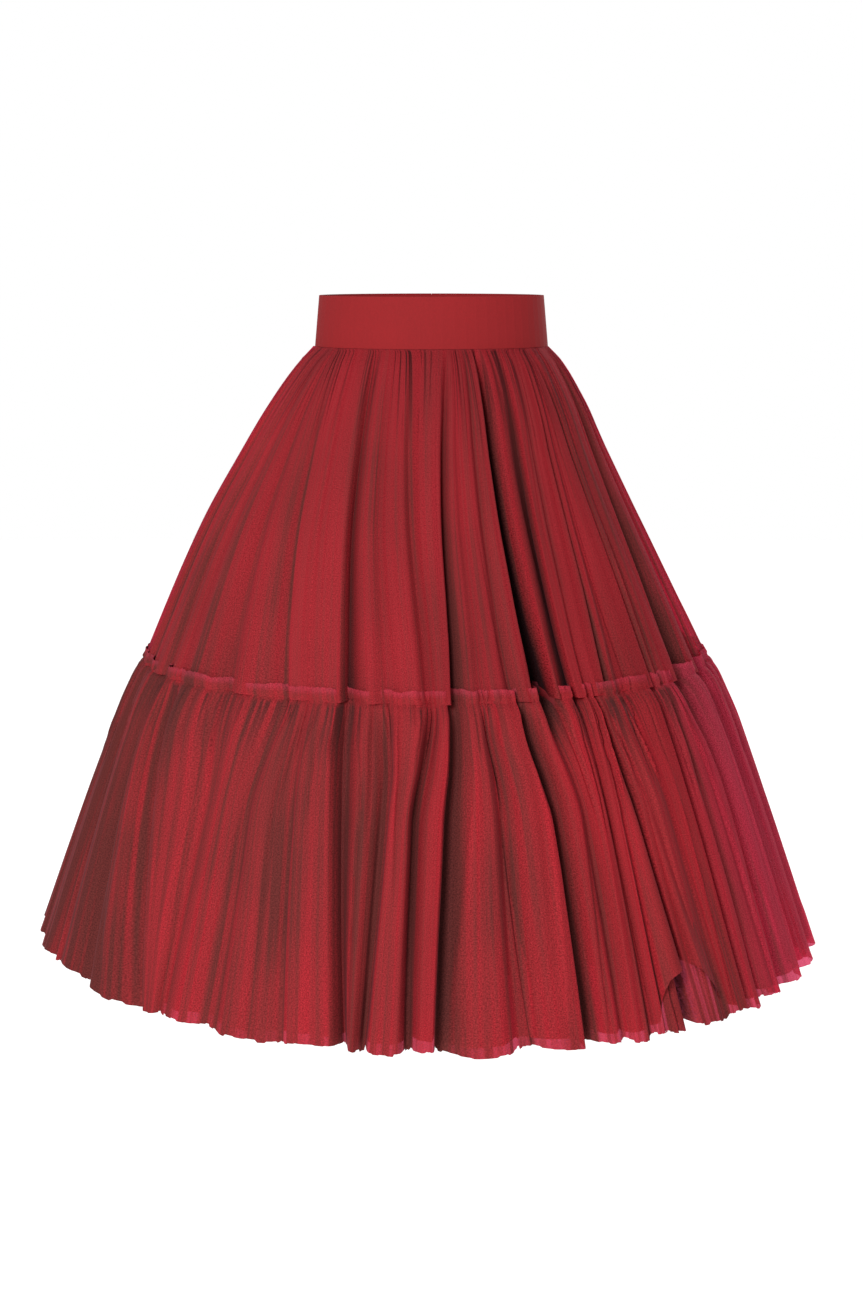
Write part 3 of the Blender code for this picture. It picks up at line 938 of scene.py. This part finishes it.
def tulle_finish(
    name, lit, pit_shade_colour, cover, pit_from, pit_gain, shade, gathered_at, gather_length,
    top=NO_TOP, hem=NO_HEM,
):
    """Net over net: cover is how much of the light one layer stops. Drops are in metres."""
    made = Finish(name)
    flat = made.node("UVMap", {"uv_map": "cloth"})
    hollow, lee, crease, layers = [
        made.node("Attribute", {"attribute_name": kind}, output=2) for kind in STORED
    ]

    def noise(pattern):
        across, down, detail = pattern
        place = made.node("Mapping", Vector=flat, Scale=(across, down, 1.0))
        return made.node(
            "TexNoise", {"noise_dimensions": "2D"}, Vector=place, Scale=1.0, Detail=detail,
            Roughness=NOISE_ROUGHNESS,
        )

    def laps_of(pattern):
        return ((noise(pattern) - HALF) * LAP_EDGE + HALF).clamped()

    streaks = noise(STREAKS) - HALF
    laps = laps_of(WIDE_LAPS) + laps_of(NARROW_LAPS) - 1.0
    clouds = noise(CLOUDS) - HALF
    grain = noise(GRAIN) - HALF
    net = made.node(
        "TexVoronoi", {"feature": "DISTANCE_TO_EDGE", "voronoi_dimensions": "2D"},
        Vector=flat, Scale=NET_SCALE,
    )
    threads = (1.0 - net * THREAD_EDGE).clamped()

    drop = made.node("SeparateXYZ", Vector=flat, output=1)
    # Painted shade: dark slits between the tight gathers just below the stitching, fading
    # downwards.
    near = ((gathered_at + gather_length - drop) * (1.0 / gather_length)).clamped()
    near = near * ((drop - gathered_at) * GATHER_EDGE).clamped()
    bunched = ((noise(BUNCHES) - BUNCH_FROM) * BUNCH_EDGE).clamped()
    slit_shade = ((noise(SLITS) - HALF) * SLIT_EDGE - SLIT_RARITY).clamped() * near * bunched

    # Painted shade: the hollow, the lee and the creases darken the colour towards the shaded red,
    # and so does the side table on the wearer's right; streaks, laps and clouds add the net's
    # uneven tone.
    depth = hollow * shade[0] + lee * shade[1] + crease * CREASE_SHADE + layers * LAYER_SHADE
    depth = depth + streaks * STREAK_SHADE + laps * LAP_SHADE + clouds * CLOUD_SHADE
    depth = (depth + BASE_SHADE).clamped()
    # Painted shade: near black in the deepest hollows and lees, fading out at the hem.
    pit_shade = ((hollow + lee * PIT_LEE - pit_from) * pit_gain).clamped().power(PIT_POWER)
    pit_shade = pit_shade * ((hem - drop) * PIT_RISE).clamped()
    # Painted highlight: a paler pink along the heading's free top edge.
    rim_highlight = ((top + RIM - drop) * RIM_EDGE).clamped()

    # Painted light: below zero the side table turns the colour to the pale pink of light coming
    # through a thin layer.
    colour = made.mixed((layers * -1.0).clamped(), lit, TULLE_PAINTED_LIGHT)
    colour = made.mixed(depth, colour, TULLE_SHADED)
    colour = made.mixed(pit_shade, colour, pit_shade_colour)
    colour = made.mixed(rim_highlight * RIM_HIGHLIGHT_SHARE, colour, TULLE_PAINTED_LIGHT)
    colour = made.mixed(slit_shade * SLIT_SHADE, colour, pit_shade_colour)
    bright = 1.0 + grain * GRAIN_LIGHT + (threads - THREAD_LIGHT_MIDDLE) * THREAD_LIGHT
    bright = bright + streaks * STREAK_LIGHT
    colour = made.node("VectorMath", {"operation": "SCALE"}, i0=colour, Scale=bright)
    bump = made.node("Bump", Height=streaks + grain * 0.15, Strength=0.3, Distance=0.0025)
    cloth = made.node(
        "BsdfPrincipled", Base_Color=colour, Roughness=0.85, Normal=bump,
        Sheen_Weight=0.08, Sheen_Roughness=0.4, Sheen_Tint=TULLE_SHEEN,
        Specular_IOR_Level=0.12,
    )

    open_net = made.node("BsdfTransparent", Color=TULLE_THROUGH)
    share = cover + depth * DEPTH_COVER + laps * LAP_COVER + streaks * STREAK_COVER
    share = share + (threads - THREAD_COVER_MIDDLE) * THREAD_COVER + layers * LAYER_COVER
    return made.done(made.node("MixShader", i0=share.clamped(), i1=open_net, i2=cloth))


RUFFLE_NET = {
    "lit": RUFFLE_LIT, "pit_shade_colour": RUFFLE_PIT_SHADE, "pit_from": 9.0, "pit_gain": 0.040,
    "shade": (0.022, 0.012), "gathered_at": 0.369, "gather_length": 0.060,
}
upper_tulle = tulle_finish(
    "upper_tulle", TULLE_LIT, UPPER_PIT_SHADE, cover=0.62, pit_from=8.0, pit_gain=0.065,
    shade=(0.030, 0.028), gathered_at=0.026, gather_length=0.10,
)
ruffle_tulle = tulle_finish("ruffle_tulle", cover=0.81, top=0.353, hem=0.676, **RUFFLE_NET)
under_tulle = tulle_finish("under_tulle", cover=0.83, hem=0.668, **RUFFLE_NET)
for finish, pieces in (
    (upper_tulle, (upper_front, upper_back_left, upper_back_right)),
    (ruffle_tulle, (ruffle_front, ruffle_back)),
    (under_tulle, (under_front, under_back)),
):
    for piece in pieces:
        piece.data.materials.append(finish)
    print(finish.name, "on", len(pieces), "pieces")

# %% [markdown]
# ## Lining and band cloth
# The lining is a plain dark red cloth. The band is a matte crepe, smooth from a step away,
# with a very fine uneven grain.

# %% Lining and crepe finishes
PATCH_SCALE = 14.0
GRAIN_SHARE = 0.7
PATCH_SHARE = 0.5
WEAVE_SHARE = 0.25
DARK_SHARE = 0.35
CREPE = {
    "light": (0.345, 0.0150, 0.0185, 1.0), "dark": (0.26, 0.0145, 0.0165, 1.0),
    "roughness": 0.85, "sheen": 0.08, "thread_scale": 900.0, "grain_scale": 420.0,
}
LINING_WEAVE = {
    "light": (0.20, 0.010, 0.015, 1.0), "dark": (0.13, 0.007, 0.010, 1.0),
    "roughness": 0.7, "sheen": 0.1, "thread_scale": 1500.0, "grain_scale": 300.0,
}
CLOTH_SHEEN = (0.9, 0.35, 0.35, 1.0)


def plain_cloth(name, light, dark, roughness, sheen, thread_scale, grain_scale):
    """A tightly woven cloth with a fine grain and soft patches."""
    made = Finish(name)
    place = made.node("TexCoord", output=3)
    grain = made.node("TexNoise", Vector=place, Scale=grain_scale, Detail=2.0, Roughness=0.6)
    patches = made.node("TexNoise", Vector=place, Scale=PATCH_SCALE, Detail=2.0)
    weave = made.node("TexNoise", Vector=place, Scale=thread_scale, Detail=1.0)
    mix = grain * GRAIN_SHARE + patches * PATCH_SHARE + weave * WEAVE_SHARE - DARK_SHARE
    bump = made.node("Bump", Height=grain * 0.6 + weave * 0.4, Strength=0.18, Distance=0.0006)
    cloth = made.node(
        "BsdfPrincipled", Base_Color=made.mixed(mix.clamped(), dark, light),
        Roughness=roughness, Normal=bump, Sheen_Weight=sheen, Sheen_Roughness=0.4,
        Sheen_Tint=CLOTH_SHEEN, Specular_IOR_Level=0.2,
    )
    return made.done(cloth)


crepe = plain_cloth("band_crepe", **CREPE)
lining_weave = plain_cloth("lining_weave", **LINING_WEAVE)
for piece in (lining_front, lining_back_left, lining_back_right, zip_tape):
    piece.data.materials.append(lining_weave)
band_facing.data.materials.append(crepe)
for node in ("waistband_front", "waistband_back_left", "waistband_back_right"):
    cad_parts[node].material_slots[0].material = crepe
print(crepe.name, "on the band,", lining_weave.name, "on the lining")

# %% [markdown]
# ## Zip
# The slider and its pull tab are small castings, painted the colour of the tulle so that
# they do not show. The paint is satin, and thinner where fingers rub it.

# %% Painted metal
ZIP_PAINT = (0.24, 0.012, 0.018, 1.0)
ZIP_WORN = (0.36, 0.060, 0.060, 1.0)
WEAR_SCALE = 520.0
WEAR_EDGE = 6.0
PAINT_ROUGHNESS = 0.42
WORN_SMOOTHER = 0.12
PAINT_METAL = 0.1
WORN_METAL = 0.5

painted = Finish("zip_paint")
where = painted.node("TexCoord", output=3)
wear = painted.node("TexNoise", Vector=where, Scale=WEAR_SCALE, Detail=3.0)
rubbed = ((wear - HALF) * WEAR_EDGE).clamped()
zip_paint = painted.done(painted.node(
    "BsdfPrincipled", Base_Color=painted.mixed(rubbed, ZIP_PAINT, ZIP_WORN),
    Roughness=rubbed * -WORN_SMOOTHER + PAINT_ROUGHNESS,
    Metallic=rubbed * WORN_METAL + PAINT_METAL, Coat_Weight=0.3,
))
for node in ("zip_slider", "zip_pull"):
    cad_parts[node].material_slots[0].material = zip_paint
print(zip_paint.name, "on the slider and its tab")

# %% [markdown]
# ## Studio
# White all round and a pale floor. The world and the floor look white to the camera and
# give the skirt less light than that, so that one large soft light from the front left
# still shapes the folds. A second one behind lights the back.

# %% Floor and world
FLOOR_HEIGHT = -1.04
FLOOR_SIZE = 14.0
FLOOR_BASE = 0.38
FLOOR_FILL = 0.75
FLOOR_SEEN = 0.96
FILL = 0.29


def grey(value):
    """The same value in all three channels."""
    return (value, value, value, 1.0)


bpy.ops.object.select_all(action="DESELECT")
bpy.ops.mesh.primitive_plane_add(size=FLOOR_SIZE, location=(0, 0, FLOOR_HEIGHT))
floor = bpy.context.object
floor.name = "studio_floor"
floor_paint = Finish("floor_paint")
direct = floor_paint.node("LightPath")
glow = floor_paint.mixed(direct, grey(FLOOR_FILL), grey(FLOOR_SEEN))
floor.data.materials.append(floor_paint.done(floor_paint.node(
    "BsdfPrincipled", Base_Color=grey(FLOOR_BASE), Roughness=0.9, Emission_Color=glow,
    Emission_Strength=1.0,
)))

world = bpy.data.worlds.new("studio")
world.use_nodes = True
sky = world.node_tree.nodes["Background"]
sky.inputs["Color"].default_value = grey(1.0)
seen = world.node_tree.nodes.new("ShaderNodeLightPath")
strength = world.node_tree.nodes.new("ShaderNodeMapRange")
strength.inputs["To Min"].default_value = FILL
strength.inputs["To Max"].default_value = 1.0
world.node_tree.links.new(seen.outputs["Is Camera Ray"], strength.inputs["Value"])
world.node_tree.links.new(strength.outputs["Result"], sky.inputs["Strength"])
bpy.context.scene.world = world
print("floor at", FLOOR_HEIGHT, "fill", FILL)

# %% Lights
LAMPS = (
    ("key", (-1.0, -3.2, 1.1), 1.0, 88.0),
    ("rear", (1.6, 2.6, 1.2), 1.4, 40.0),
)
LAMP_AIM = (0, 0, -0.35)
NET_CROSSINGS = 24


def soft_light(name, place, size, power):
    """A square lamp that looks at the middle of the skirt."""
    data = bpy.data.lights.new(name, "AREA")
    data.shape = "SQUARE"
    data.size = size
    data.energy = power
    made = bpy.data.objects.new(name, data)
    made.location = place
    aim = Vector(LAMP_AIM) - Vector(place)
    made.rotation_euler = aim.to_track_quat("-Z", "Y").to_euler()
    bpy.context.scene.collection.objects.link(made)


for lamp in LAMPS:
    soft_light(*lamp)
bpy.context.scene.view_settings.view_transform = "Standard"
bpy.context.scene.view_settings.look = "None"
bpy.context.scene.cycles.transparent_max_bounces = NET_CROSSINGS
print("lights", [lamp[0] for lamp in LAMPS])
